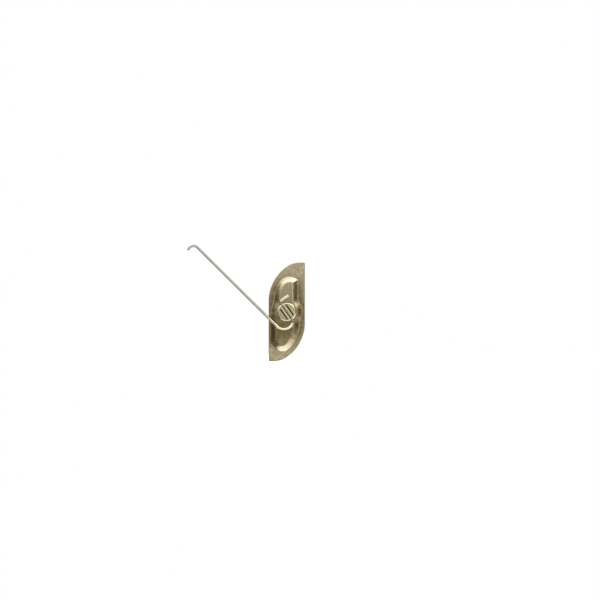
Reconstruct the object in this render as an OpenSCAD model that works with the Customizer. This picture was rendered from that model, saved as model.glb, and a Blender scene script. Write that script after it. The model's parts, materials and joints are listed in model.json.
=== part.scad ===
// Trim T-bolt clip: a stamped locking plate, a headed stud fixed through it and a spring wire
// staked into a slot across the stud's head. The wire's long arm is the part that moves.
// Origin: on the stud's axis, in the plane of the plate's back face. +X right and +Z up as
// seen from the head side, +Y back along the stud, away from the head.

/* [Plate] */
// Width of the plate, between its two straight long edges
plate_w = 12.9; // [10.7:0.1:15.5]
// Length of the plate, from end to end
plate_l = 35.3; // [29:0.1:43]
// Thickness of the steel sheet
plate_t = 0.76; // [0.6:0.02:1]
// Radius of the two large corner curves
corner_r = 15.05; // [12.5:0.05:18.1]
// Where a corner curve leaves the long edge, below the plate's end, as a share of its radius
corner_drop = 0.914; // [0.85:0.002:0.95]
// Radius that blends a corner curve into the plate's end, as a share of the corner radius
corner_blend = 0.53; // [0.45:0.01:0.6]
// Height of the pressed-up middle above the flange
emboss_h = 0.75; // [0.6:0.01:0.9]
// Width of the sloping wall around each lobe of the pressed-up middle
wall_w = 1.8; // [1.5:0.05:2.1]
// Width of the flat flange along each large corner curve
curve_rim = 2; // [1.7:0.05:2.4]
// Width of the flat flange beside the upper lobe's straight side
upper_rim = 2.55; // [2.1:0.05:3]
// Radius of the upper lobe's end
upper_end_r = 4.33; // [3.7:0.01:5.1]
// How far round the corner curve the upper lobe's end begins
upper_end_turn = 29.4; // [24:0.2:34]
// Width of the flat flange beside the lower lobe's straight side
lower_rim = 0.7; // [0.6:0.05:1.2]
// Radius of the lower lobe's end
lower_end_r = 3.38; // [2.8:0.01:4]
// How far round the corner curve the lower lobe's end begins
lower_end_turn = 43.6; // [37:0.2:46]
// Width of the flat flange beside the round bulge under the head
bulge_rim = 0.95; // [0.75:0.05:1.15]
// Width of the flat ring left around the head
seat_margin = 0.37; // [0.2:0.01:0.6]

/* [Stud] */
// Outside diameter of the thread, number 10 size
thread_d = 4.826; // [4.02:0.001:5.8]
// Distance from crest to crest, 24 threads to the inch
thread_pitch = 1.0583; // [0.88:0.0001:1.27]
// Length of the stud behind the plate's back face
stud_l = 15.5; // [14.8:0.1:18.6]
// Length of the full-round shank behind the plate
shank_l = 1.35; // [1.1:0.05:1.6]
// Length of the cone from the shank down to the thread's root
shoulder_l = 0.55; // [0.4:0.05:0.7]
// Extra radius of the neck that fills the plate's hole, over the shank
neck_extra = 0.19; // [0.1:0.01:0.3]
// Extra radius of the upset ring that traps the plate from behind, over the shank
swage_extra = 0.66; // [0.5:0.02:0.8]
// How far the head stands out past the shank all round
head_rim = 0.917; // [0.76:0.001:1.1]
// Rounding of the head's outer edge
head_edge = 0.42; // [0.3:0.01:0.6]
// Length of the cone at the stud's tip
tip_l = 0.42; // [0.3:0.01:0.5]
// Radial gap between the stud's neck and the plate's hole
neck_clear = 0.02; // [0.01:0.01:0.05]

/* [Head slot] */
// Angle of the slot below the horizontal, falling to the right
slot_angle = 55.5; // [45:0.5:62]
// Head material left under the wire
slot_floor = 0.05; // [0.04:0.01:0.15]
// Thickness of the lips over the highest line of the wire
lip_t = 0.05; // [0.03:0.01:0.15]
// Open width between the lips, as a share of the wire's diameter
mouth_share = 0.5; // [0.4:0.05:0.8]
// Radial gap between the wire and its channel
wire_clear = 0.02; // [0.01:0.01:0.05]
// Distance from the slot's centre line to each staking groove
stake_offset = 1.28; // [1:0.01:1.4]
// Width of a staking groove at the head's surface
stake_w = 0.46; // [0.3:0.02:0.46]
// Depth of a staking groove
stake_depth = 0.32; // [0.2:0.02:0.4]
// Length of a staking groove
stake_l = 4.6; // [3.6:0.1:5.2]

/* [Spring wire] */
// Diameter of the spring wire
wire_d = 0.95; // [0.8:0.01:1.14]
// Straight length of the short tail above the head
tail_l = 2.85; // [2.3:0.05:3.5]
// Centre-line radius of the bend between the slot and the tail
tail_bend_r = 1.1; // [0.9:0.05:1.4]
// Straight run of wire past the head before each bend
exit_run = 0.12; // [0.1:0.01:0.3]
// Centre-line radius of the tight bend where the wire leaves the slot
near_bend_r = 1.1; // [0.9:0.05:1.4]
// Turn made by the tight bend
near_turn = 54; // [45:1:65]
// Centre-line radius of the wide bend that brings the wire back across the plate
wide_bend_r = 3.4; // [3.2:0.05:4.1]
// Direction of the straight arm, counted from +X towards +Z
arm_angle = 135.2; // [125:0.2:150]
// Straight length of the arm
arm_l = 39.7; // [33:0.1:47.7]
// How far the arm stands in front of the wire in the slot
arm_rise = 0.68; // [0.5:0.01:0.9]
// Centre-line radius of the hook at the arm's end
hook_r = 2.02; // [1.6:0.01:2.5]
// Turn made by the hook
hook_turn = 121; // [90:1:150]
// Half angle of the ridge on which the flexing arm is hinged
ridge_bevel = 9.5; // [9:0.5:14]

/* [Hidden] */

half_w = plate_w / 2;
half_l = plate_l / 2;
plate_far = 2 * plate_l;
skin = 0.01;

// Corner curve and its blend into the plate's end
corner_x = corner_r - half_w;
corner_y = half_l - corner_drop * corner_r;
blend_r = corner_blend * corner_r;
blend_y = half_l - blend_r;
blend_x = corner_x - sqrt(pow(corner_r - blend_r, 2) - pow(blend_y - corner_y, 2));
blend_angle = atan2(blend_y - corner_y, blend_x - corner_x);
overlap_angle = blend_angle - 5;

// Stud radii and levels; levels are heights in front of the plate's back face
thread_r = thread_d / 2;
root_r = thread_r - 0.6134 * thread_pitch;
crest_flat = thread_pitch / 8;
flank = (thread_r - root_r) * tan(30);
neck_r = thread_r + neck_extra;
hole_r = neck_r + neck_clear;
swage_r = thread_r + swage_extra;
head_r = thread_r + head_rim;
wire_r = wire_d / 2;
channel_r = wire_r + wire_clear;
seat_h = plate_t + emboss_h;
wire_h = seat_h + slot_floor + wire_r;
head_top = wire_h + wire_r + lip_t;
tip_drop = tip_l * 0.7;
thread_l = stud_l - tip_l - shank_l - shoulder_l;
thread_crests = floor((thread_l + flank) / thread_pitch);
first_crest = stud_l - tip_l - crest_flat / 2 - (thread_crests - 1) * thread_pitch;

// Pressed-up middle of the plate: each lobe's curved side is concentric with a corner curve
bulge_top_r = head_r + seat_margin;
bulge_foot_r = half_w - bulge_rim;
lobe_side_r = corner_r - curve_rim;
upper_side = half_w - upper_rim;
lower_side = half_w - lower_rim;

// Wire path, measured along and across the slot
exit_s = head_r + exit_run;
back_turn = 360 - slot_angle - arm_angle;
wide_turn = back_turn - near_turn;
arm_reach = wide_bend_r - (wide_bend_r - near_bend_r) * cos(wide_turn) - near_bend_r * cos(back_turn);
arm_tilt = asin(arm_rise / arm_reach);
start_turn = 8;

// Two lengths of wire stop short of each other by this much, inside a ball that joins them
join_gap = 0.015;
join_ball_r = wire_r + 0.004;
near_gap = join_gap / near_bend_r * 180 / PI;
wide_gap = join_gap / wide_bend_r * 180 / PI;
hook_gap = join_gap / hook_r * 180 / PI;

// Turns a shape drawn as seen from the head side (x right, y up, z towards the viewer)
// into the part's frame
module stand() {
    rotate([90, 0, 0])
        children();
}

// One length of wire along +x
module wire_straight(run) {
    rotate([0, 90, 0])
        cylinder(r = wire_r, h = run, $fn = 32);
}

// One bend of wire about the local origin, from the start angle through the turn
module wire_bend(bend_r, start, turn) {
    rotate([0, 0, start])
        rotate_extrude(angle = turn, $fn = 64)
            translate([bend_r, 0])
                circle(r = wire_r, $fn = 32);
}

// What a corner curve and its blend take off the plate's upper left corner
module corner_cut() {
    difference() {
        translate([corner_x, corner_y])
            polygon([
                [0, 0],
                [-plate_far, 0],
                [-plate_far, plate_far],
                [plate_far * cos(overlap_angle), plate_far * sin(overlap_angle)]
            ]);
        translate([corner_x, corner_y])
            circle(r = corner_r, $fn = 96);
    }
    difference() {
        translate([blend_x, blend_y])
            polygon([
                [0, 0],
                [plate_far * cos(blend_angle), plate_far * sin(blend_angle)],
                [0, plate_far]
            ]);
        translate([blend_x, blend_y])
            circle(r = blend_r, $fn = 96);
    }
}

// Blank of the plate: two square corners and two large curved ones, opposite each other
module blank_outline() {
    difference() {
        square([plate_w, plate_l], center = true);
        corner_cut();
        rotate([0, 0, 180])
            corner_cut();
    }
}

// Thin slice of one lobe, drawn in from its foot: straight side on the right, curved on the left
module lobe_slice(inset, side, end_r, end_turn) {
    side_x = side - inset;
    end_x = corner_x - (lobe_side_r - end_r) * cos(end_turn);
    end_y = corner_y + (lobe_side_r - end_r) * sin(end_turn);
    translate([corner_x - lobe_side_r + inset, 0, 0])
        cube([side_x - corner_x + lobe_side_r - inset, corner_y, skin]);
    cube([side_x, end_y, skin]);
    intersection() {
        translate([end_x, end_y, 0])
            cylinder(r = end_r - inset, h = skin, $fn = 72);
        translate([side_x - plate_far, 0, 0])
            cube([plate_far, plate_far, skin]);
    }
    intersection() {
        translate([corner_x, corner_y, 0])
            cylinder(r = lobe_side_r - inset, h = skin, $fn = 144);
        translate([corner_x, corner_y, 0])
            linear_extrude(skin)
                polygon([
                    [side_x - corner_x, 0],
                    [-lobe_side_r * 2, 0],
                    [-lobe_side_r * 2 * cos(end_turn), lobe_side_r * 2 * sin(end_turn)]
                ]);
    }
}

// One lobe with its sloping walls, from foot level up by the emboss height
module lobe(side, end_r, end_turn) {
    hull() {
        lobe_slice(0, side, end_r, end_turn);
        translate([0, 0, emboss_h - skin])
            lobe_slice(wall_w, side, end_r, end_turn);
    }
}

// The pressed-up shape: two unlike lobes and the round bulge that carries the head
module emboss_shape() {
    lobe(upper_side, upper_end_r, upper_end_turn);
    rotate([0, 0, 180])
        lobe(lower_side, lower_end_r, lower_end_turn);
    cylinder(r1 = bulge_foot_r, r2 = bulge_top_r, h = emboss_h, $fn = 96);
}

// Stamped sheet-steel plate, pressed up in the middle and hollow behind it
module locking_plate() {
    color("#8F8469")
        stand()
            difference() {
                union() {
                    linear_extrude(plate_t)
                        blank_outline();
                    translate([0, 0, plate_t])
                        emboss_shape();
                }
                emboss_shape();
                cylinder(r = hole_r, h = 2 * seat_h, $fn = 64);
            }
}

// Threaded length with its crests as rings, each crest drawn after the groove before it
module thread_profile() {
    polygon(concat(
        [[0, -shank_l], [thread_r, -shank_l], [root_r, -shank_l - shoulder_l]],
        [for (turn = [0:thread_crests - 1])
            let (crest = first_crest + turn * thread_pitch)
                for (step = [
                    [root_r, crest - thread_pitch + crest_flat / 2 + flank],
                    [root_r, crest - crest_flat / 2 - flank],
                    [thread_r, crest - crest_flat / 2],
                    [thread_r, crest + crest_flat / 2]
                ])
                    [step[0], -step[1]]],
        [[thread_r - tip_drop, -stud_l], [0, -stud_l]]
    ));
}

// Groove left on each side of the slot by the punch that closed its lips
module stake_groove(side) {
    translate([-stake_l / 2, side * stake_offset, head_top])
        rotate([90, 0, 90])
            linear_extrude(stake_l)
                polygon([
                    [-stake_w / 2, skin],
                    [0, -stake_depth],
                    [stake_w / 2, skin]
                ]);
}

// Headed stud: low round head with its slot, neck, upset ring, shank and thread
module threaded_stud() {
    color("#A39B78")
        stand()
            difference() {
                union() {
                    rotate_extrude($fn = 96)
                        translate([0, seat_h]) {
                            square([head_r, head_top - seat_h - head_edge]);
                            square([head_r - head_edge, head_top - seat_h]);
                            translate([head_r - head_edge, head_top - seat_h - head_edge])
                                circle(r = head_edge, $fn = 48);
                        }
                    translate([0, 0, emboss_h])
                        cylinder(r = neck_r, h = plate_t + skin, $fn = 64);
                    cylinder(r1 = thread_r, r2 = swage_r, h = emboss_h, $fn = 64);
                    translate([0, 0, -shank_l])
                        cylinder(r = thread_r, h = shank_l, $fn = 64);
                    rotate_extrude($fn = 64)
                        thread_profile();
                }
                rotate([0, 0, -slot_angle]) {
                    translate([-2 * head_r, 0, wire_h])
                        rotate([0, 90, 0])
                            cylinder(r = channel_r, h = 4 * head_r, $fn = 32);
                    translate([-2 * head_r, -mouth_share * wire_r, wire_h])
                        cube([4 * head_r, 2 * mouth_share * wire_r, head_top]);
                    stake_groove(-1);
                    stake_groove(1);
                }
            }
}

// Prism that cuts a wire's end to a ridge on the hinge line; dir is the side it takes away
module ridge_cut(dir) {
    translate([exit_s, 0, wire_h - wire_d])
        linear_extrude(2 * wire_d)
            polygon([
                [0, 0],
                [-dir * wire_d * tan(ridge_bevel), wire_d],
                [dir * wire_d, wire_d],
                [dir * wire_d, -wire_d],
                [-dir * wire_d * tan(ridge_bevel), -wire_d]
            ]);
}

// Clamped part of the spring wire: tail, its bend, and the run held in the head's slot
module spring_wire_root() {
    color("#C9C29F")
        stand()
            rotate([0, 0, -slot_angle])
                difference() {
                    translate([0, 0, wire_h])
                        union() {
                            translate([-exit_s, 0, 0])
                                wire_straight(exit_s * 2 + wire_r);
                            translate([-exit_s, tail_bend_r, 0])
                                wire_bend(tail_bend_r, 180, 90);
                            translate([-exit_s - tail_bend_r, tail_bend_r, 0])
                                rotate([0, 0, 90])
                                    wire_straight(tail_l);
                        }
                    ridge_cut(1);
                }
}

// Ball that carries the wire's round section across a join
module wire_join() {
    sphere(r = join_ball_r, $fn = 32);
}

// The hook at the arm's end, starting at the local origin and curling to the left of +x
module hook() {
    wire_join();
    translate([0, hook_r, 0])
        wire_bend(hook_r, hook_gap - 90, hook_turn - hook_gap);
}

// The long straight arm with its hook, which lies parallel to the plate
module straight_arm() {
    wire_join();
    translate([join_gap, 0, 0])
        wire_straight(arm_l - 2 * join_gap);
    translate([arm_l, 0, 0])
        rotate([-arm_tilt, 0, 0])
            hook();
}

// The wide bend and all that follows it, starting at the local origin
module wide_bend() {
    wire_join();
    translate([0, -wide_bend_r, 0]) {
        wire_bend(wide_bend_r, 90 - wide_turn + wide_gap, wide_turn - 2 * wide_gap);
        rotate([0, 0, -wide_turn])
            translate([0, wide_bend_r, 0])
                straight_arm();
    }
}

// Free part of the spring wire in its own plane, starting at the hinge and heading along +x
module arm_path() {
    translate([0, -near_bend_r, 0]) {
        wire_bend(near_bend_r, 90 - near_turn + near_gap, near_turn + start_turn);
        rotate([0, 0, -near_turn])
            translate([0, near_bend_r, 0])
                wide_bend();
    }
}

// Free part of the spring wire: the two bends, the long straight arm and its hook
module spring_wire_arm() {
    color("#C9C29F")
        stand()
            rotate([0, 0, -slot_angle])
                difference() {
                    translate([exit_s, 0, wire_h])
                        rotate([0, 0, arm_angle + slot_angle])
                            rotate([arm_tilt, 0, 0])
                                rotate([0, 0, -arm_angle - slot_angle])
                                    arm_path();
                    ridge_cut(-1);
                }
}

locking_plate();
threaded_stud();
spring_wire_root();
spring_wire_arm();
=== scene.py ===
import json
import math

import bmesh
import bpy
import numpy as np
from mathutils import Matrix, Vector


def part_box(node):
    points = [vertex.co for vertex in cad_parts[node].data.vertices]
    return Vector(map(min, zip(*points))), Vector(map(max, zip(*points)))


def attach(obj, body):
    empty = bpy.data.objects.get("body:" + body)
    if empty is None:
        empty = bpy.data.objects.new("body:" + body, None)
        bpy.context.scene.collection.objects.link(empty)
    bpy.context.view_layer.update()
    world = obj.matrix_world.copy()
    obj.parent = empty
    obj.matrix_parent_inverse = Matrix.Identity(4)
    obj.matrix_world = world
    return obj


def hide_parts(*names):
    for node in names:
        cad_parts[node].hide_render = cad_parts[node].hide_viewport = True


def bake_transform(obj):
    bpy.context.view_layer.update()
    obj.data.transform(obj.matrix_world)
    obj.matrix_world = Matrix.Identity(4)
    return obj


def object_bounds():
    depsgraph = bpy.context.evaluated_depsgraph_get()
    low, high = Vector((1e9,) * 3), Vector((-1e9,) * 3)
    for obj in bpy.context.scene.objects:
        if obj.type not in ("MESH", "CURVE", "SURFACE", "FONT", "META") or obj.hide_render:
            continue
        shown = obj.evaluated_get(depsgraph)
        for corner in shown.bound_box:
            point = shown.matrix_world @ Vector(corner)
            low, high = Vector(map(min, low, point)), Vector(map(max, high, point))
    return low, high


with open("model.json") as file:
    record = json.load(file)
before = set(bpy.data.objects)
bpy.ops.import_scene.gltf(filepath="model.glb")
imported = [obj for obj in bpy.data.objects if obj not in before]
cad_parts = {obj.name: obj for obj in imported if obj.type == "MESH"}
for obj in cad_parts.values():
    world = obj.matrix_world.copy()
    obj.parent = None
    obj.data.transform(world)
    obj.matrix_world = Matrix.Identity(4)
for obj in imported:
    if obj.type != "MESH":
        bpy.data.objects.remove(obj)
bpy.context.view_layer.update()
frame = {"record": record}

# ---------------------------------------------------------------------------------------------
# Locking plate. One blank of low-carbon steel sheet, cut with two square corners and two large
# curved ones, and pressed up in the middle in the same stroke, so the back is hollow. It is
# zinc plated and passivated a dull olive yellow. The stud's head and upset ring clamp it.
# ---------------------------------------------------------------------------------------------
MM = 0.001

plate_low, plate_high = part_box("locking_plate")
half_w = plate_high.x / MM
half_l = plate_high.z / MM
sheet_t = 0.76
emboss_h = -plate_low.y / MM - sheet_t

# Outline: a large corner curve, and a tighter one that blends it into the plate's end
corner_r = 15.05
corner_drop = 0.914
corner_blend = 0.53
corner_x = corner_r - half_w
corner_z = half_l - corner_drop * corner_r
blend_r = corner_blend * corner_r
blend_z = half_l - blend_r
blend_x = corner_x - math.sqrt((corner_r - blend_r) ** 2 - (blend_z - corner_z) ** 2)
blend_rise = (blend_z - corner_z) / (corner_r - blend_r)
square_r = 0.35

# Pressing: flange widths, the lobes' end radii and where on the corner curve those ends begin
bulge_rim, curve_rim, upper_rim, lower_rim = 0.95, 2, 2.55, 0.7
upper_end_r, upper_end_turn = 4.33, 29.4
lower_end_r, lower_end_turn = 3.38, 43.6
wall_w = 1.8
foot_soft, top_soft = 0.42, 0.38
valley_w = 1.1
lobe_change_w = 2.4
bulge_r = half_w - bulge_rim
lobe_side_r = corner_r - curve_rim


def left_edge(z, inset):
    """How far left the blank reaches at height z, with its outline drawn in by the inset."""
    foot = square_r - half_l
    if z < foot:
        return square_r - half_w - math.sqrt(max(0.0, (square_r - inset) ** 2 - (z - foot) ** 2))
    if z < corner_z:
        return inset - half_w
    if z < corner_z + (corner_r - inset) * blend_rise:
        return corner_x - math.sqrt((corner_r - inset) ** 2 - (z - corner_z) ** 2)
    return blend_x - math.sqrt(max(0.0, (blend_r - inset) ** 2 - (z - blend_z) ** 2))


def ramp(s, soft):
    """A ramp that starts at 0 and is rounded over the soft distance on both sides."""
    return np.where(s < -soft, 0.0, np.where(s > soft, s, (s + soft) ** 2 / (4 * soft)))


def inside_lobe(x, z, side, end_r, end_turn):
    """How far a point lies inside a lobe's foot: straight on the right, curved on the left."""
    turn = math.radians(end_turn)
    end_x = corner_x - (lobe_side_r - end_r) * math.cos(turn)
    end_z = corner_z + (lobe_side_r - end_r) * math.sin(turn)
    curved = np.where(z < corner_z, x + lobe_side_r - corner_x,
                      lobe_side_r - np.hypot(x - corner_x, z - corner_z))
    inside = np.minimum(side - x, curved)
    ex, ez = x - end_x, z - end_z
    slant = math.acos(min(1.0, end_r / (side - end_x)))
    if slant > 0:
        inside = np.minimum(inside, end_r - ex * math.cos(slant) - ez * math.sin(slant))
    past_end = ((ex * math.sin(turn) + ez * math.cos(turn) > 0)
                & (ez * math.cos(slant) - ex * math.sin(slant) > 0))
    return np.where(past_end, np.minimum(inside, end_r - np.hypot(ex, ez)), inside)


def inside_foot(x, z):
    """How far a point lies inside the foot of the pressed-up middle; less than 0 on the flange."""
    bulge = bulge_r - np.hypot(x, z)
    upper = inside_lobe(x, z, half_w - upper_rim, upper_end_r, upper_end_turn)
    lower = inside_lobe(-x, -z, half_w - lower_rim, lower_end_r, lower_end_turn)
    change = np.clip(0.5 + z / lobe_change_w, 0, 1)
    change = change * change * (3 - 2 * change)
    lobe = upper * change + lower * (1 - change)
    near = np.maximum(valley_w - np.abs(bulge - lobe), 0)
    return np.maximum(bulge, lobe) + near ** 2 / (4 * valley_w)


def pressed_height(x, z):
    """Height of the pressed-up middle above the flange, for the front and the back alike."""
    inside = inside_foot(x, z)
    return emboss_h / wall_w * (ramp(inside, foot_soft) - ramp(inside - wall_w, top_soft))


# Painted shade on the sheet: distances in mm, shares of the full painted shade
head_foot_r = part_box("threaded_stud")[1].x / MM
flange_reach, flange_shade = 3.4, 1.2
floor_reach, floor_shade = 1.2, 0.15
crevice_reach, crevice_shade = 1.1, 0.9
lobe_z = 0.35 * half_l


def painted_shade_share(x, z):
    """Share of painted shade: most beside the walls, round the head and in the lower lobe, least at the
    plate's ends.
    """
    inside = inside_foot(x, z)
    # Painted shade: darker beside the walls, round the head's foot, in the lower lobe and towards the
    # lower left; lighter towards the plate's ends
    away_from_ends = np.clip(1.3 - 1.9 * (z / half_l) ** 2, 0, 1)
    flange = np.clip(1 + inside / flange_reach, 0, 1) * flange_shade
    lobe_shade = 0.72 - 0.36 * np.clip(z / lobe_z, -1, 1)
    floor = lobe_shade + floor_shade * np.clip(1 - (inside - wall_w) / floor_reach, 0, 1)
    beside_lower_lobe = np.clip(1 - np.abs(z + lobe_z) / (0.5 * half_l), 0, 1)
    low_left = 0.5 * np.clip((-x - z * 0.35) / half_w, 0, 1) * beside_lower_lobe
    crevice = crevice_shade * np.clip(1 - (np.hypot(x, z) - head_foot_r) / crevice_reach, 0, 1)
    share = np.where(inside > 0.5 * wall_w, np.maximum(floor, crevice), flange + low_left)
    return np.clip(share * away_from_ends, 0, 1)


COLUMNS = 76
END_ROWS = 38
end_step, row_step = 0.15, 0.16


def sheet_rows(top):
    """Heights of the mesh rows, closer together where the outline runs level at the ends."""
    end_rows = [(k * end_step) ** 2 / (2 * blend_r) for k in range(END_ROWS)]
    middle = top - end_rows[-1]
    count = 2 * round(middle / row_step)
    upper = [top - d for d in end_rows]
    inner = [middle - middle * 2 * k / count for k in range(1, count)]
    return upper + inner + [-z for z in reversed(upper)]


# Shares across a row: part of the spacing narrows towards both edges, the rest is even
edge_crowding = 0.35
crowded = 0.5 * np.cos(np.linspace(0, math.pi, COLUMNS)) * edge_crowding
even = 0.5 * (1 - edge_crowding) * np.linspace(1, -1, COLUMNS)
fractions = 0.5 - crowded - even


def sheet_face(inset):
    """One face of the sheet, its outline drawn in by the inset, as rows of (x, z)."""
    grid = []
    for z in sheet_rows(half_l - inset):
        left, right = left_edge(z, inset), -left_edge(-z, inset)
        grid.append([(left + (right - left) * f, z) for f in fractions])
    return np.array(grid)


def outline_order(rows):
    """Indices of a face's outline, once round."""
    last = COLUMNS - 1
    loop = [(r, 0) for r in range(rows - 1, 0, -1)]
    loop += [(0, c) for c in range(last)]
    loop += [(r, last) for r in range(rows - 1)]
    loop += [(rows - 1, c) for c in range(last, 0, -1)]
    return loop


front_round = 0.14
back_round = 0.04
front = sheet_face(front_round)
back = sheet_face(back_round)
rows = len(front)
outline = outline_order(rows)

points, faces, edge_share, painted_shade_amount = [], [], [], []


def add_point(x, z, height, edge):
    """Adds a point with how much of an edge it is; gives its index."""
    points.append((x * MM, -height * MM, z * MM))
    edge_share.append(edge)
    painted_shade_amount.append(float(painted_shade_share(x, z)))
    return len(points) - 1


def add_sheet_face(grid, lift, flip):
    """Adds a face of the sheet and its points; gives the indices once round its outline."""
    heights = pressed_height(grid[:, :, 0], grid[:, :, 1]) + lift
    ids = [[add_point(*grid[r, c], heights[r, c], 0.0) for c in range(COLUMNS)] for r in range(rows)]
    for r in range(rows - 1):
        for c in range(COLUMNS - 1):
            quad = [ids[r][c], ids[r + 1][c], ids[r + 1][c + 1], ids[r][c + 1]]
            faces.append(quad[::-1] if flip else quad)
    return [ids[r][c] for r, c in outline]


front_loop = add_sheet_face(front, sheet_t, False)
back_loop = add_sheet_face(back, 0.0, True)
for vertex in front_loop + back_loop:
    edge_share[vertex] = 1.0

# The cut edge: rolled over at the front where the die drew it in, nearly sharp at the back
front_line = np.array([front[r, c] for r, c in outline])
along = np.roll(front_line, -1, axis=0) - np.roll(front_line, 1, axis=0)
outward = np.stack([along[:, 1], -along[:, 0]], axis=1) / np.linalg.norm(along, axis=1)[:, None]
if (outward * front_line).sum() < 0:
    outward = -outward
rings = [front_loop]
ROUND_ANGLES = (22.5, 45, 67.5, 90)
for angle in ROUND_ANGLES:
    push = front_round * math.sin(math.radians(angle))
    drop = front_round * (1 - math.cos(math.radians(angle)))
    ring = front_line + outward * push
    rings.append([add_point(x, z, sheet_t - drop, 1.0) for x, z in ring])
outer_line = front_line + outward * front_round
for share in (0.66, 0.33):
    rings.append([add_point(x, z, back_round + (sheet_t - front_round - back_round) * share, 1.0)
                  for x, z in outer_line])
rings.append([add_point(x, z, back_round, 1.0) for x, z in outer_line])
rings.append(back_loop)
for upper, lower in zip(rings, rings[1:]):
    for i in range(len(upper)):
        j = (i + 1) % len(upper)
        faces.append([upper[i], upper[j], lower[j], lower[i]])

mesh = bpy.data.meshes.new("locking_plate_pressed")
mesh.from_pydata(points, [], faces)
wear = mesh.attributes.new("edge_wear", "FLOAT", "POINT")
wear.data.foreach_set("value", edge_share)
painted_shade_layer = mesh.attributes.new("painted_shade_amount", "FLOAT", "POINT")
painted_shade_layer.data.foreach_set("value", painted_shade_amount)
tidy = bmesh.new()
tidy.from_mesh(mesh)
bmesh.ops.recalc_face_normals(tidy, faces=tidy.faces)
tidy.to_mesh(mesh)
tidy.free()
mesh.shade_smooth()
mesh.set_sharp_from_angle(angle=math.radians(40))
plate = bpy.data.objects.new("locking_plate_pressed", mesh)
bpy.context.collection.objects.link(plate)


def linear(code):
    """Turns an sRGB hex colour into the linear colour the shader takes."""
    parts = [int(code[i:i + 2], 16) / 255 for i in (1, 3, 5)]
    return tuple(p / 12.92 if p <= 0.04045 else ((p + 0.055) / 1.055) ** 2.4 for p in parts) + (1.0,)


def add(material, kind, values=(), **settings):
    """Adds a node with its settings; values are its inputs, as numbers or other nodes' outputs."""
    made = material.node_tree.nodes.new(kind)
    for name, value in settings.items():
        setattr(made, name, value)
    for name, value in dict(values).items():
        if isinstance(value, bpy.types.NodeSocket):
            material.node_tree.links.new(value, made.inputs[name])
        else:
            made.inputs[name].default_value = value
    return made


# Zinc plate over rolled sheet, passivated olive yellow: a soft metal gloss that clouds over a
# millimetre or so, painted shade beside the walls, round the head and in the lower lobe, greyer
# metal on the cut edges and fine rolling lines along the strip.
zinc_sheet = bpy.data.materials.new("zinc_passivated_pressed_sheet")
zinc_sheet.use_nodes = True
shader = zinc_sheet.node_tree.nodes["Principled BSDF"]
place = add(zinc_sheet, "ShaderNodeTexCoord")
in_mm = add(zinc_sheet, "ShaderNodeVectorMath", {0: place.outputs["Object"], "Scale": 1 / MM},
            operation="SCALE")
cloud = add(zinc_sheet, "ShaderNodeTexNoise",
            {"Vector": in_mm.outputs[0], "Scale": 1 / 1.3, "Detail": 5.0, "Roughness": 0.6})
tone = add(zinc_sheet, "ShaderNodeValToRGB", {"Fac": cloud.outputs["Fac"]})
tone.color_ramp.elements[0].position = 0.34
tone.color_ramp.elements[0].color = linear("#AC9F7E")
tone.color_ramp.elements[1].position = 0.68
tone.color_ramp.elements[1].color = linear("#D0C6A9")
rubbed = add(zinc_sheet, "ShaderNodeAttribute", attribute_name="edge_wear")
# Painted shade: the stored amount mixes the sheet's tone towards a dark olive
painted_shade_at = add(zinc_sheet, "ShaderNodeAttribute", attribute_name="painted_shade_amount")
uneven = add(zinc_sheet, "ShaderNodeMath", {0: painted_shade_at.outputs["Fac"], 1: cloud.outputs["Fac"]},
             operation="MULTIPLY")
painted_shade_mix = add(zinc_sheet, "ShaderNodeMapRange",
               {"Value": uneven.outputs[0], "From Min": 0.02, "From Max": 0.5})
shaded_tone = add(zinc_sheet, "ShaderNodeMix", {"Factor": painted_shade_mix.outputs[0], "A": tone.outputs["Color"],
                                           "B": linear("#7C6F50")}, data_type="RGBA")
bare = add(zinc_sheet, "ShaderNodeMix", {"Factor": rubbed.outputs["Fac"], "A": shaded_tone.outputs["Result"],
                                         "B": linear("#9C937C")}, data_type="RGBA")
# Rolling lines are finer than a render shows, so they are drawn 1/8 mm apart and 2 mm long
rolling_grid = (8.0, 8.0, 0.5)
stretched = add(zinc_sheet, "ShaderNodeVectorMath", {0: in_mm.outputs[0], 1: rolling_grid},
                operation="MULTIPLY")
rolling = add(zinc_sheet, "ShaderNodeTexNoise",
              {"Vector": stretched.outputs[0], "Scale": 1.0, "Detail": 3.0, "Roughness": 0.55})
grain = add(zinc_sheet, "ShaderNodeTexNoise",
            {"Vector": in_mm.outputs[0], "Scale": 1 / 0.16, "Detail": 3.0, "Roughness": 0.6})
relief = add(zinc_sheet, "ShaderNodeMath", {0: rolling.outputs["Fac"], 1: grain.outputs["Fac"]},
             operation="ADD")
dents = add(zinc_sheet, "ShaderNodeBump", {"Height": relief.outputs[0], "Strength": 0.35,
                                           "Distance": 0.012 * MM})
waves = add(zinc_sheet, "ShaderNodeBump", {"Height": cloud.outputs["Fac"], "Strength": 0.5,
                                           "Distance": 0.06 * MM, "Normal": dents.outputs["Normal"]})
gloss = add(zinc_sheet, "ShaderNodeMapRange",
            {"Value": grain.outputs["Fac"], "From Min": 0.3, "From Max": 0.7,
             "To Min": 0.22, "To Max": 0.34})
shader.inputs["Metallic"].default_value = 1.0
zinc_sheet.node_tree.links.new(bare.outputs["Result"], shader.inputs["Base Color"])
zinc_sheet.node_tree.links.new(gloss.outputs["Result"], shader.inputs["Roughness"])
zinc_sheet.node_tree.links.new(waves.outputs["Normal"], shader.inputs["Normal"])
mesh.materials.append(zinc_sheet)
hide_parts("locking_plate")
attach(plate, "clip")

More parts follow.
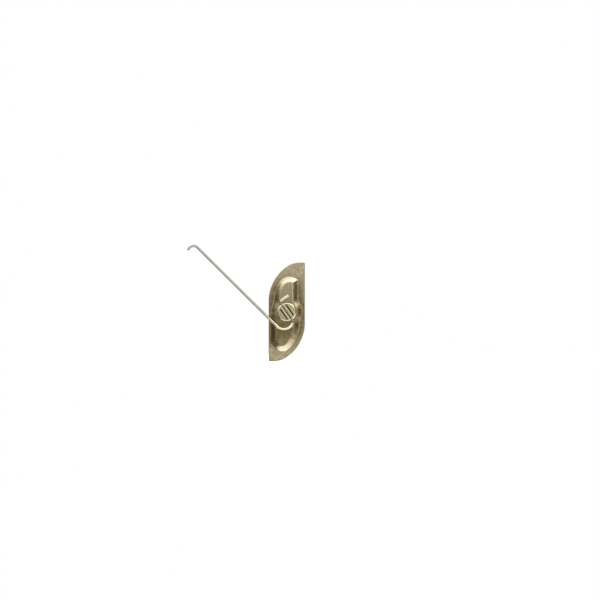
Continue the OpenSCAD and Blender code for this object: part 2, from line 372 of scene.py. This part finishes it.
# ---------------------------------------------------------------------------------------------
# Stud. Cold headed from steel wire and thread rolled, then pushed through the plate and upset
# behind it. A keyhole slot crosses the low head; two punched grooves beside it closed the slot's
# lips over the spring wire. Same zinc and olive-yellow passivate as the plate, a little greener.
# ---------------------------------------------------------------------------------------------
stud_mount = next(m for m in frame["record"]["mounts"] if m["name"] == "stud")
stud_low, stud_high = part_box("threaded_stud")
thread_r = stud_mount["dims"]["r_mm"]
pitch = 1.0583
thread_end = stud_mount["dims"]["length_mm"]
stud_end = stud_high.y / MM
shank_end = 1.35
root_from = 1.9
thread_depth_share = 0.6134
root_r = thread_r - thread_depth_share * pitch
flank = math.radians(30)
crest_half = pitch / 16
root_at = crest_half + (thread_r - root_r) * math.tan(flank)
last_crest = thread_end - crest_half
thread_soft = 0.03
fade_in = 1.2 * pitch
tip_slope = 0.7
neck_r = 2.605
swage_r = thread_r + 0.66
swage_foot_r = thread_r + 0.12
head_r = stud_high.x / MM
head_top = -stud_low.y / MM
seat = sheet_t + emboss_h
head_edge = 0.42

SEGMENTS = 72
KNOTS = 16
points, faces = [], []


def turn_point(radius, y, angle):
    """Adds a point by its radius, its place along the stud and its angle; gives its index."""
    points.append((radius * math.sin(angle) * MM, y * MM, radius * math.cos(angle) * MM))
    return len(points) - 1


def thread_surface(y, angle):
    """Radius of the shank, its shoulder, the right-hand thread and the coned tip."""
    along = (y - last_crest - pitch * angle / (2 * math.pi) + pitch / 2) % pitch - pitch / 2
    fall = float(ramp(np.float64(abs(along) - crest_half), thread_soft)
                 - ramp(np.float64(abs(along) - root_at), thread_soft)) / math.tan(flank)
    grown = min(1.0, max(0.0, (y - root_from) / fade_in))
    ridge = root_r + (thread_r - root_r - fall) * grown * grown * (3 - 2 * grown)
    down = min(1.0, max(0.0, (y - shank_end) / (root_from - shank_end)))
    body = thread_r + (root_r - thread_r) * down * down * (3 - 2 * down)
    return min(max(ridge, body), thread_r - tip_slope * max(0.0, y - thread_end))


def arc(cx, cy, radius, start, end, steps):
    """Points of a lathe profile's rounded corner, as (radius, y)."""
    sweep = [math.radians(start + (end - start) * k / steps) for k in range(steps + 1)]
    return [(cx + radius * math.cos(a), cy + radius * math.sin(a)) for a in sweep]


# Lathe profile as (radius, y) from the head's slightly hollowed top, over its rounded edges and
# the neck, to the upset ring, which leans in to the shank
under_edge = 0.08
ring_edge = 0.05
profile = [(0.9, 0.016 - head_top), (2.0, 0.02 - head_top)]
profile += arc(head_r - head_edge, head_edge - head_top, head_edge, -90, 0, 7)
profile += arc(head_r - under_edge, -seat - under_edge, under_edge, 0, 90, 3)
profile += [(neck_r, -seat), (neck_r, -emboss_h)]
profile += [(swage_r - ring_edge, -emboss_h), (swage_r, -emboss_h + ring_edge)]
profile += [(swage_foot_r, -0.06), (thread_r + 0.03, 0.02), (thread_r, 0.12)]
angles = [2 * math.pi * k / SEGMENTS for k in range(SEGMENTS)]
lathe = [[turn_point(r, y, a) for a in angles] for r, y in profile]

# The rolled thread: rows follow the helix, and are held at the shank and at the tip
turns = math.ceil((stud_end - shank_end) / pitch) + 1
helix = []
for row in range(turns * KNOTS + 1):
    line = []
    for a in angles:
        y = shank_end - pitch + pitch * (row / KNOTS + a / (2 * math.pi))
        y = min(max(y, shank_end), stud_end)
        line.append(turn_point(thread_surface(y, a), y, a))
    helix.append(line)
rings = lathe + [helix[0]]
for upper, lower in zip(rings, rings[1:]):
    for i in range(SEGMENTS):
        j = (i + 1) % SEGMENTS
        faces.append([upper[i], lower[i], lower[j], upper[j]])
for row in range(turns * KNOTS):
    for i in range(SEGMENTS):
        if i + 1 < SEGMENTS:
            quad = [helix[row][i], helix[row + 1][i], helix[row + 1][i + 1], helix[row][i + 1]]
        elif row + 1 + KNOTS <= turns * KNOTS:
            quad = [helix[row][i], helix[row + 1][i], helix[row + 1 + KNOTS][0], helix[row + KNOTS][0]]
        else:
            continue
        if len({points[q] for q in quad}) > 2:
            faces.append(quad)
last = helix[-1]
dish_r = 1.2
dish = [turn_point(dish_r, stud_end - 0.05, a) for a in angles]
hollow = turn_point(0, stud_end - 0.08, 0)
crown = turn_point(0, -head_top, 0)
for i in range(SEGMENTS):
    j = (i + 1) % SEGMENTS
    faces.append([last[i], dish[i], dish[j], last[j]])
    faces.append([dish[i], hollow, dish[j]])
    faces.append([lathe[0][j], crown, lathe[0][i]])


def solid(name, points, faces):
    """A closed mesh object from points and faces, with doubled points joined."""
    mesh = bpy.data.meshes.new(name)
    mesh.from_pydata(points, [], faces)
    tidy = bmesh.new()
    tidy.from_mesh(mesh)
    bmesh.ops.remove_doubles(tidy, verts=tidy.verts, dist=0.0005 * MM)
    bmesh.ops.dissolve_degenerate(tidy, edges=tidy.edges, dist=0.0005 * MM)
    bmesh.ops.recalc_face_normals(tidy, faces=tidy.faces)
    tidy.to_mesh(mesh)
    tidy.free()
    made = bpy.data.objects.new(name, mesh)
    bpy.context.collection.objects.link(made)
    return made


stud = solid("threaded_stud_rolled", points, faces)

slot_angle = math.radians(55.5)
wire_r = 0.475
channel_r = wire_r + 0.02
wire_h = seat + 0.05 + wire_r
along_slot = Vector((math.cos(slot_angle), 0, -math.sin(slot_angle)))
across_slot = Vector((math.sin(slot_angle), 0, math.cos(slot_angle)))


def slot_point(s, across, height):
    """A point by its place along the slot, across it, and in front of the plate's back face."""
    return (along_slot * s + across_slot * across - Vector((0, height, 0))) * MM


def cutter(name, sections):
    """A closed solid swept through sections, each a list of points in the same order."""
    points = [tuple(p) for section in sections for p in section]
    size = len(sections[0])
    faces = [list(range(size)), list(range(len(points) - size, len(points)))]
    for k in range(len(sections) - 1):
        for i in range(size):
            j = (i + 1) % size
            faces.append([k * size + i, k * size + j, (k + 1) * size + j, (k + 1) * size + i])
    return solid(name, points, faces)


# The slot's section: a round channel and a narrower mouth, whose lips are broken at the top
mouth = wire_r * 0.5
lip_break, lip_depth = 0.07, 0.08
clear_of_head = 0.3
mouth_side = [(mouth + lip_break, head_top + clear_of_head), (mouth + lip_break, head_top),
              (mouth, head_top - lip_depth)]
CHANNEL_STEPS = 24
round_from = math.asin(mouth / channel_r)
channel = []
for k in range(CHANNEL_STEPS + 1):
    a = round_from + (2 * math.pi - 2 * round_from) * k / CHANNEL_STEPS
    channel.append((channel_r * math.sin(a), wire_h + channel_r * math.cos(a)))
keyhole = mouth_side + channel + [(-a, h) for a, h in reversed(mouth_side)]
slot_reach = 4.5
slot_ends = [[slot_point(s, a, h) for a, h in keyhole] for s in (-slot_reach, slot_reach)]
tools = [cutter("slot_tool", slot_ends)]

# Each staking groove is a rounded V that rises at its ends, as a punch leaves it
groove_at = 1.28
groove_depth = 0.32
groove_run = ((-2.35, 0.03), (-2.1, 0.2), (-1.6, groove_depth),
              (1.6, groove_depth), (2.1, 0.2), (2.35, 0.03))
for side in (-1, 1):
    groove = []
    for s, depth in groove_run:
        half = 0.08 + 0.16 * depth / groove_depth
        low = head_top - depth
        shape = [(-half, head_top + 0.1), (-half, head_top), (-0.05, low + 0.02), (0.0, low),
                 (0.05, low + 0.02), (half, head_top), (half, head_top + 0.1)]
        groove.append([slot_point(s, side * groove_at + a, h) for a, h in shape])
    tools.append(cutter("punch_tool", groove))
for tool in tools:
    cut = stud.modifiers.new(tool.name, "BOOLEAN")
    cut.object = tool
    cut.operation = "DIFFERENCE"
    cut.solver = "EXACT"
shaped = bpy.data.meshes.new_from_object(stud.evaluated_get(bpy.context.evaluated_depsgraph_get()))
shaped.name = "threaded_stud_rolled"
stud.modifiers.clear()
stud.data = shaped
for tool in tools:
    bpy.data.objects.remove(tool)
shaped.shade_smooth()
shaped.set_sharp_from_angle(angle=math.radians(32))

# Zinc plate over a headed and rolled blank: smoother and greener than the sheet, with turning
# rings on the head, painted shade in the thread's roots, in the slot and in the staking grooves,
# and painted highlight stripes on the slot's lips and beside the grooves.
zinc_stud = bpy.data.materials.new("zinc_passivated_rolled_stud")
zinc_stud.use_nodes = True
shader = zinc_stud.node_tree.nodes["Principled BSDF"]
place = add(zinc_stud, "ShaderNodeTexCoord")
in_mm = add(zinc_stud, "ShaderNodeVectorMath", {0: place.outputs["Object"], "Scale": 1 / MM},
            operation="SCALE")
split = add(zinc_stud, "ShaderNodeSeparateXYZ", {"Vector": in_mm.outputs[0]})
flat = add(zinc_stud, "ShaderNodeCombineXYZ", {"X": split.outputs["X"], "Z": split.outputs["Z"]})
out_from_axis = add(zinc_stud, "ShaderNodeVectorMath", {0: flat.outputs[0]}, operation="LENGTH")
cloud = add(zinc_stud, "ShaderNodeTexNoise",
            {"Vector": in_mm.outputs[0], "Scale": 1 / 0.8, "Detail": 4.0, "Roughness": 0.6})
tone = add(zinc_stud, "ShaderNodeValToRGB", {"Fac": cloud.outputs["Fac"]})
tone.color_ramp.elements[0].position = 0.35
tone.color_ramp.elements[0].color = linear("#A8A27F")
tone.color_ramp.elements[1].position = 0.65
tone.color_ramp.elements[1].color = linear("#CAC4A4")
# Painted shade in the thread's roots: past the shank the roots are mixed towards a dark olive
behind = add(zinc_stud, "ShaderNodeMapRange", {"Value": split.outputs["Y"], "From Min": root_from,
                                               "From Max": root_from + 0.5})
in_root = add(zinc_stud, "ShaderNodeMapRange", {"Value": out_from_axis.outputs["Value"],
                                                "From Min": root_r + 0.34, "From Max": root_r + 0.02})
painted_shade_share = add(zinc_stud, "ShaderNodeMath", {0: behind.outputs[0], 1: in_root.outputs[0]},
                 operation="MULTIPLY")
painted_shade_layer = add(zinc_stud, "ShaderNodeMix", {"Factor": painted_shade_share.outputs[0], "A": tone.outputs["Color"],
                                        "B": linear("#5E5937")}, data_type="RGBA")
face_from, face_full = -2.0, -2.15
on_head = add(zinc_stud, "ShaderNodeMapRange", {"Value": split.outputs["Y"], "From Min": face_from,
                                                "From Max": face_full})
across = add(zinc_stud, "ShaderNodeVectorMath", {0: in_mm.outputs[0], 1: tuple(across_slot)},
             operation="DOT_PRODUCT")
along = add(zinc_stud, "ShaderNodeVectorMath", {0: in_mm.outputs[0], 1: tuple(along_slot)},
            operation="DOT_PRODUCT")
off_slot = add(zinc_stud, "ShaderNodeMath", {0: across.outputs["Value"]}, operation="ABSOLUTE")
off_middle = add(zinc_stud, "ShaderNodeMath", {0: along.outputs["Value"]}, operation="ABSOLUTE")
part_across = add(zinc_stud, "ShaderNodeMath", {0: off_slot.outputs[0], 1: head_r},
                  operation="DIVIDE")
# Painted shade and highlights across the head, by the distance from the slot's middle line in mm
slot_shade_tone, rim_tone = "#8F876F", "#BDB796"
head_shade_and_highlights = ((0.36, slot_shade_tone), (0.48, "#E9E0C8"), (0.84, "#D8CFB2"),
                (groove_at - 0.2, "#665B3C"), (groove_at + 0.2, "#665B3C"),
                (groove_at + 0.4, "#D0C8A8"), (groove_at + 0.75, rim_tone))
head_light_stripes = add(zinc_stud, "ShaderNodeValToRGB", {"Fac": part_across.outputs[0]})
for off, code in head_shade_and_highlights:
    head_light_stripes.color_ramp.elements.new(off / head_r).color = linear(code)
head_light_stripes.color_ramp.elements[0].color = linear(slot_shade_tone)
head_light_stripes.color_ramp.elements[len(head_light_stripes.color_ramp.elements) - 1].color = linear(rim_tone)
# The head's painted shade and highlight stripes cover only the middle of its face, along the slot
stripes_reach = add(zinc_stud, "ShaderNodeMapRange",
                   {"Value": off_middle.outputs[0], "From Min": 2.6, "From Max": 2.1})
stripes_share = add(zinc_stud, "ShaderNodeMath", {0: stripes_reach.outputs[0], 1: on_head.outputs[0]},
              operation="MULTIPLY")
painted_shade_and_highlight = add(zinc_stud, "ShaderNodeMix", {"Factor": stripes_share.outputs[0], "A": painted_shade_layer.outputs["Result"],
                                           "B": head_light_stripes.outputs["Color"]}, data_type="RGBA")
turning_pitch = 0.3
rings_in = add(zinc_stud, "ShaderNodeMath",
               {0: out_from_axis.outputs["Value"], 1: 2 * math.pi / turning_pitch},
               operation="MULTIPLY")
turning = add(zinc_stud, "ShaderNodeMath", {0: rings_in.outputs[0]}, operation="SINE")
turned = add(zinc_stud, "ShaderNodeMath", {0: turning.outputs[0], 1: on_head.outputs[0]},
             operation="MULTIPLY")
grain = add(zinc_stud, "ShaderNodeTexNoise",
            {"Vector": in_mm.outputs[0], "Scale": 1 / 0.12, "Detail": 3.0, "Roughness": 0.6})
relief = add(zinc_stud, "ShaderNodeMath", {0: turned.outputs[0], 1: 0.25, 2: grain.outputs["Fac"]},
             operation="MULTIPLY_ADD")
dents = add(zinc_stud, "ShaderNodeBump", {"Height": relief.outputs[0], "Strength": 0.35,
                                          "Distance": 0.014 * MM})
gloss = add(zinc_stud, "ShaderNodeMapRange",
            {"Value": grain.outputs["Fac"], "From Min": 0.3, "From Max": 0.7,
             "To Min": 0.2, "To Max": 0.34})
shader.inputs["Metallic"].default_value = 1.0
zinc_stud.node_tree.links.new(painted_shade_and_highlight.outputs["Result"], shader.inputs["Base Color"])
zinc_stud.node_tree.links.new(gloss.outputs["Result"], shader.inputs["Roughness"])
zinc_stud.node_tree.links.new(dents.outputs["Normal"], shader.inputs["Normal"])
shaped.materials.clear()
shaped.materials.append(zinc_stud)
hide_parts("threaded_stud")
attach(stud, "clip")

# ---------------------------------------------------------------------------------------------
# Spring wire. One length of hard-drawn steel wire, bent cold: a short tail, the run held in the
# head's slot, a tight bend and a wide one, the long straight arm and the hook at its end. It
# springs in the two bends, so the arm swings across the plate and comes back by itself.
# ---------------------------------------------------------------------------------------------
head_gap = 0.12
exit_s = head_r + head_gap
tail_r = 1.1
tail_l = 2.85
near_r = 1.1
near_turn = math.radians(54)
wide_r = 3.4
arm_angle = math.radians(135.2)
arm_l = 39.7
arm_rise = 0.68
hook_r = 2.02
hook_turn = math.radians(121)
wide_turn = 2 * math.pi - slot_angle - arm_angle - near_turn
arm_along = Vector((math.cos(arm_angle), 0, math.sin(arm_angle)))
arm_across = Vector((-math.sin(arm_angle), 0, math.cos(arm_angle)))
STEP = math.radians(4)
TAIL_STEPS, RUN_STEPS, ARM_STEPS = 4, 8, 40

path = []
for k in range(TAIL_STEPS + 1):
    back = tail_r + tail_l * (1 - k / TAIL_STEPS)
    path.append(slot_point(-exit_s - tail_r, back, wire_h) / MM)
steps = math.ceil(math.pi / 2 / STEP)
for k in range(1, steps + 1):
    a = math.pi + math.pi / 2 * k / steps
    path.append(slot_point(-exit_s + tail_r * math.cos(a), tail_r + tail_r * math.sin(a), wire_h) / MM)
for k in range(1, RUN_STEPS + 1):
    path.append(slot_point(-exit_s + 2 * exit_s * k / RUN_STEPS, 0, wire_h) / MM)
hinge = path[-1].copy()

# The free part is drawn flat from the hinge, then its plane is tipped about the arm's direction
flat_path = []
heading = -slot_angle
spot = Vector((0, 0))
for radius, turn in ((near_r, near_turn), (wide_r, wide_turn)):
    centre = spot + radius * Vector((math.sin(heading), -math.cos(heading)))
    steps = math.ceil(turn / STEP)
    for k in range(1, steps + 1):
        now = heading - turn * k / steps
        flat_path.append(centre + radius * Vector((-math.sin(now), math.cos(now))))
    heading -= turn
    spot = flat_path[-1]
for k in range(1, ARM_STEPS + 1):
    flat_path.append(spot + arm_l * k / ARM_STEPS * Vector((math.cos(heading), math.sin(heading))))
reach = Vector((spot.x, 0, spot.y)).dot(arm_across)
tip_over = math.asin(arm_rise / reach)
for x, z in flat_path:
    flat_point = Vector((x, 0, z))
    over = flat_point.dot(arm_across)
    path.append(hinge + arm_along * flat_point.dot(arm_along) + arm_across * over * math.cos(tip_over)
                + Vector((0, -over * math.sin(tip_over), 0)))
arm_end = path[-1].copy()
steps = math.ceil(hook_turn / STEP)
for k in range(1, steps + 1):
    a = hook_turn * k / steps
    path.append(arm_end + arm_along * hook_r * math.sin(a) + arm_across * hook_r * (1 - math.cos(a)))

# The round section is carried along without twist; both ends are cropped and slightly rounded
AROUND = 28
points, faces, drawn = [], [], []
sideways = Vector((0, -1, 0))
length = 0.0
stations = []
for k, spot in enumerate(path):
    before, after = path[max(k - 1, 0)], path[min(k + 1, len(path) - 1)]
    tangent = (after - before).normalized()
    sideways = (sideways - tangent * sideways.dot(tangent)).normalized()
    length += (spot - path[k - 1]).length if k else 0.0
    stations.append((spot, tangent, sideways.copy(), length))


def wire_ring(spot, tangent, side, length, radius):
    """Adds one ring of points, each with its place in the wire as drawn; gives their indices."""
    up = tangent.cross(side)
    ring = []
    for k in range(AROUND):
        a = 2 * math.pi * k / AROUND
        out = side * math.cos(a) + up * math.sin(a)
        points.append(tuple((spot + out * radius) * MM))
        drawn.append((math.cos(a) * radius, math.sin(a) * radius, length))
        ring.append(len(points) - 1)
    return ring


grip_middle = tail_l + tail_r * math.pi / 2 + exit_s
chamfer = 0.07
rings = []
for end, inward in ((0, 1), (-1, -1)):
    spot, tangent, side, length = stations[end]
    lip = [wire_ring(spot + tangent * inward * back, tangent, side, length + inward * back, radius)
           for radius, back in ((0.15, 0.01), (wire_r - chamfer, 0.0), (wire_r - 0.02, 0.02))]
    rings.append(lip)
body = []
for k, (spot, tangent, side, length) in enumerate(stations):
    shift = chamfer if k == 0 else -chamfer if k == len(stations) - 1 else 0.0
    body.append(wire_ring(spot + tangent * shift, tangent, side, length + shift, wire_r))
order = rings[0] + body + rings[1][::-1]
for upper, lower in zip(order, order[1:]):
    for i in range(AROUND):
        j = (i + 1) % AROUND
        faces.append([upper[i], upper[j], lower[j], lower[i]])
faces.append(order[0][::-1])
faces.append(order[-1])
mesh = bpy.data.meshes.new("spring_wire_bent")
mesh.from_pydata(points, [], faces)
unbent = mesh.attributes.new("as_drawn", "FLOAT_VECTOR", "POINT")
unbent.data.foreach_set("vector", [value for place in drawn for value in place])
tidy = bmesh.new()
tidy.from_mesh(mesh)
bmesh.ops.recalc_face_normals(tidy, faces=tidy.faces)
tidy.to_mesh(mesh)
tidy.free()
mesh.shade_smooth()
mesh.set_sharp_from_angle(angle=math.radians(50))
wire = bpy.data.objects.new("spring_wire_bent", mesh)
bpy.context.collection.objects.link(wire)

# Hard-drawn wire under thin zinc: long die lines run with the wire, so it shines along its
# length, and the film is worn in patches. Painted shadow darkens it where the head's lips cover it,
# and the film has gone from most of the arm, which is greyer and duller. All follow the wire as it was
# drawn.
drawn_wire = bpy.data.materials.new("zinc_plated_drawn_wire")
drawn_wire.use_nodes = True
shader = drawn_wire.node_tree.nodes["Principled BSDF"]
before_bending = add(drawn_wire, "ShaderNodeAttribute", attribute_name="as_drawn")
# Die lines are drawn 1/12 mm apart, coarser than real ones, so that they show
line_grid = (12.0, 12.0, 0.3)
stretched = add(drawn_wire, "ShaderNodeVectorMath",
                {0: before_bending.outputs["Vector"], 1: line_grid}, operation="MULTIPLY")
die_lines = add(drawn_wire, "ShaderNodeTexNoise",
                {"Vector": stretched.outputs[0], "Scale": 1.0, "Detail": 3.0, "Roughness": 0.6})
patches = add(drawn_wire, "ShaderNodeTexNoise",
              {"Vector": before_bending.outputs["Vector"], "Scale": 1 / 1.6, "Detail": 4.0,
               "Roughness": 0.6})
tone = add(drawn_wire, "ShaderNodeValToRGB", {"Fac": patches.outputs["Fac"]})
tone.color_ramp.elements[0].position = 0.35
tone.color_ramp.elements[0].color = linear("#A29A7A")
tone.color_ramp.elements[1].position = 0.65
tone.color_ramp.elements[1].color = linear("#C2BA98")
along_wire = add(drawn_wire, "ShaderNodeSeparateXYZ", {"Vector": before_bending.outputs["Vector"]})
# Painted shadow under the head's lips: darkest over the middle of the run held in the slot
from_grip = add(drawn_wire, "ShaderNodeMath", {0: along_wire.outputs["Z"], 1: grip_middle},
                operation="SUBTRACT")
off_grip = add(drawn_wire, "ShaderNodeMath", {0: from_grip.outputs[0]}, operation="ABSOLUTE")
under_lips_shade = add(drawn_wire, "ShaderNodeMapRange", {"Value": off_grip.outputs[0], "From Min": head_r + 1.3,
                                                 "From Max": head_r - 0.3, "To Max": 0.8})
bare_from, bare_full = 12.0, 18.0
bare_arm = add(drawn_wire, "ShaderNodeMapRange", {"Value": from_grip.outputs[0], "From Min": bare_from,
                                                  "From Max": bare_full, "To Max": 0.85})
rubbed = add(drawn_wire, "ShaderNodeMix", {"Factor": bare_arm.outputs[0], "A": tone.outputs["Color"],
                                           "B": linear("#83857C")}, data_type="RGBA")
shaded_under_lips = add(drawn_wire, "ShaderNodeMix",
                   {"Factor": under_lips_shade.outputs[0], "A": rubbed.outputs["Result"],
                    "B": linear("#5E5743")}, data_type="RGBA")
dents = add(drawn_wire, "ShaderNodeBump", {"Height": die_lines.outputs["Fac"], "Strength": 0.25,
                                           "Distance": 0.004 * MM})
gloss = add(drawn_wire, "ShaderNodeMapRange",
            {"Value": patches.outputs["Fac"], "From Min": 0.3, "From Max": 0.7,
             "To Min": 0.30, "To Max": 0.42})
bare_roughness = 0.16
rougher = add(drawn_wire, "ShaderNodeMath",
              {0: bare_arm.outputs[0], 1: bare_roughness, 2: gloss.outputs["Result"]},
              operation="MULTIPLY_ADD")
shader.inputs["Metallic"].default_value = 1.0
drawn_wire.node_tree.links.new(shaded_under_lips.outputs["Result"], shader.inputs["Base Color"])
drawn_wire.node_tree.links.new(rougher.outputs[0], shader.inputs["Roughness"])
drawn_wire.node_tree.links.new(dents.outputs["Normal"], shader.inputs["Normal"])
mesh.materials.append(drawn_wire)
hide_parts("spring_wire_root", "spring_wire_arm")
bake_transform(wire)

# ---------------------------------------------------------------------------------------------
# Studio. A white acrylic light table under the clip and a white surround. The metal reflects a
# ring of panels at its own height, with dark gaps between them, and soft boxes above and below.
# ---------------------------------------------------------------------------------------------
table_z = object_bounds()[0].z
table_half = 0.16
spots = [(-1, -1), (1, -1), (1, 1), (-1, 1)]
mesh = bpy.data.meshes.new("light_table")
mesh.from_pydata([(x * table_half, y * table_half, table_z) for x, y in spots], [], [[0, 1, 2, 3]])
table = bpy.data.objects.new("light_table", mesh)
bpy.context.collection.objects.link(table)
acrylic = bpy.data.materials.new("white_acrylic_lit_from_below")
acrylic.use_nodes = True
shader = acrylic.node_tree.nodes["Principled BSDF"]
shader.inputs["Base Color"].default_value = linear("#F4F2EE")
shader.inputs["Roughness"].default_value = 0.6
shader.inputs["Emission Color"].default_value = linear("#FFFAF4")
shader.inputs["Emission Strength"].default_value = 1.0
mesh.materials.append(acrylic)
table.visible_glossy = False

# What the metal reflects. Round about stand a pale panel straight ahead with a bright strip on
# each side of it, dark cloth out to the sides, and panels and strips behind. Soft boxes above
# and below lean over, and a dark screen stands low on the left in front.
world = bpy.data.worlds.new("studio")
bpy.context.scene.world = world
world.use_nodes = True
background = world.node_tree.nodes["Background"]
direction = add(world, "ShaderNodeTexCoord")
split = add(world, "ShaderNodeSeparateXYZ", {"Vector": direction.outputs["Generated"]})
ahead = add(world, "ShaderNodeMath", {0: split.outputs["Y"], 1: -1.0}, operation="MULTIPLY")
bearing = add(world, "ShaderNodeMath", {0: split.outputs["X"], 1: ahead.outputs[0]},
              operation="ARCTAN2")
turned = add(world, "ShaderNodeMath", {0: bearing.outputs[0]}, operation="ABSOLUTE")
part_turn = add(world, "ShaderNodeMath", {0: turned.outputs[0], 1: math.pi}, operation="DIVIDE")
around = add(world, "ShaderNodeValToRGB", {"Fac": part_turn.outputs[0]})
panels = around.color_ramp
# Each stop: how much of a half turn it stands away from straight ahead, its colour, its strength
ahead_tone, strip, cloth, behind_tone = "#C9C6BC", "#FFFBF2", "#6B5D45", "#B3AFA3"
stops = ((0.05, ahead_tone, 1.0), (0.09, strip, 1.6), (0.15, strip, 1.6), (0.21, cloth, 0.6),
         (0.45, cloth, 0.6), (0.50, behind_tone, 1.0), (0.60, strip, 1.2), (0.68, cloth, 1.0),
         (0.80, behind_tone, 1.0), (0.86, strip, 1.2), (0.92, behind_tone, 1.0))
for position, code, strength in stops:
    panels.elements.new(position).color = [strength * v for v in linear(code)[:3]] + [1]
panels.elements[0].color = linear(ahead_tone)
panels.elements[len(panels.elements) - 1].color = linear(behind_tone)

level = add(world, "ShaderNodeMath", {0: split.outputs["Z"]}, operation="ABSOLUTE")
lean_below, lean_above = 0.7, -0.4
lean = add(world, "ShaderNodeMapRange", {"Value": split.outputs["Z"], "From Min": -0.1, "From Max": 0.1,
                                         "To Min": lean_below, "To Max": lean_above})
leaning = add(world, "ShaderNodeMath", {0: split.outputs["X"], 1: lean.outputs[0], 2: 1.0},
              operation="MULTIPLY_ADD")
raised = add(world, "ShaderNodeMath", {0: level.outputs[0], 1: leaning.outputs[0]},
             operation="MULTIPLY")
ring_share = add(world, "ShaderNodeMapRange",
                 {"Value": raised.outputs[0], "From Min": 0.33, "From Max": 0.47},
                 interpolation_type="SMOOTHSTEP")
poles = add(world, "ShaderNodeMapRange",
            {"Value": level.outputs[0], "From Min": 0.84, "From Max": 0.95,
             "To Min": 1.0, "To Max": 0.2}, interpolation_type="SMOOTHSTEP")
soft_boxes = add(world, "ShaderNodeMath", {0: ring_share.outputs["Result"], 1: poles.outputs["Result"]},
                 operation="MULTIPLY")

screen_way = (-0.6, 0.0, -0.8)
low_left = add(world, "ShaderNodeVectorMath", {0: direction.outputs["Generated"], 1: screen_way},
               operation="DOT_PRODUCT")
screen_side = add(world, "ShaderNodeMapRange",
                  {"Value": low_left.outputs["Value"], "From Min": 0.16, "From Max": 0.36})
screen_front = add(world, "ShaderNodeMapRange",
                   {"Value": ahead.outputs[0], "From Min": 0.1, "From Max": 0.4})
screen_share = add(world, "ShaderNodeMath", {0: screen_side.outputs[0], 1: screen_front.outputs[0]},
                   operation="MULTIPLY")
screened = add(world, "ShaderNodeMix", {"Factor": screen_share.outputs[0], "A": around.outputs["Color"],
                                        "B": linear("#6A604E")}, data_type="RGBA")
soft_box_glow = (2.7, 2.8, 3.3, 1.0)
reflected = add(world, "ShaderNodeMix",
                {"Factor": soft_boxes.outputs[0], "A": screened.outputs["Result"],
                 "B": soft_box_glow}, data_type="RGBA")
# The camera sees plain white where the metal would see the panels
looking = add(world, "ShaderNodeLightPath")
seen = add(world, "ShaderNodeMix", {"Factor": looking.outputs["Is Camera Ray"],
                                    "A": reflected.outputs["Result"],
                                    "B": (1.0, 1.0, 1.0, 1.0)}, data_type="RGBA")
world.node_tree.links.new(seen.outputs["Result"], background.inputs["Color"])
background.inputs["Strength"].default_value = 1.0

for name, spot, size, power in (("soft_box_right", (0.35, -0.5, 0.42), 0.3, 2.0),
                                ("soft_box_back", (-0.2, 0.5, 0.5), 0.3, 1.5)):
    light = bpy.data.lights.new(name, "AREA")
    light.size = size
    light.energy = power
    lamp = bpy.data.objects.new(name, light)
    lamp.location = spot
    lamp.rotation_euler = (-Vector(spot)).to_track_quat("-Z", "Y").to_euler()
    lamp.visible_camera = False
    bpy.context.collection.objects.link(lamp)

# A long lens, square on to the plate; the frame is 213.4 mm wide at the plate
frame_w = 0.2134
frame_middle_x, frame_middle_z = 0.00471, 0.00427
lens = bpy.data.cameras.new("camera")
lens.sensor_width = 36
lens.lens = 200
lens.clip_start = 0.01
lens.clip_end = 20
camera = bpy.data.objects.new("camera", lens)
distance = frame_w * lens.lens / lens.sensor_width
camera.location = (frame_middle_x, -distance - seat * MM, frame_middle_z)
camera.rotation_euler = (math.pi / 2, 0, 0)
bpy.context.collection.objects.link(camera)
bpy.context.scene.camera = camera
bpy.context.scene.view_settings.view_transform = "Standard"
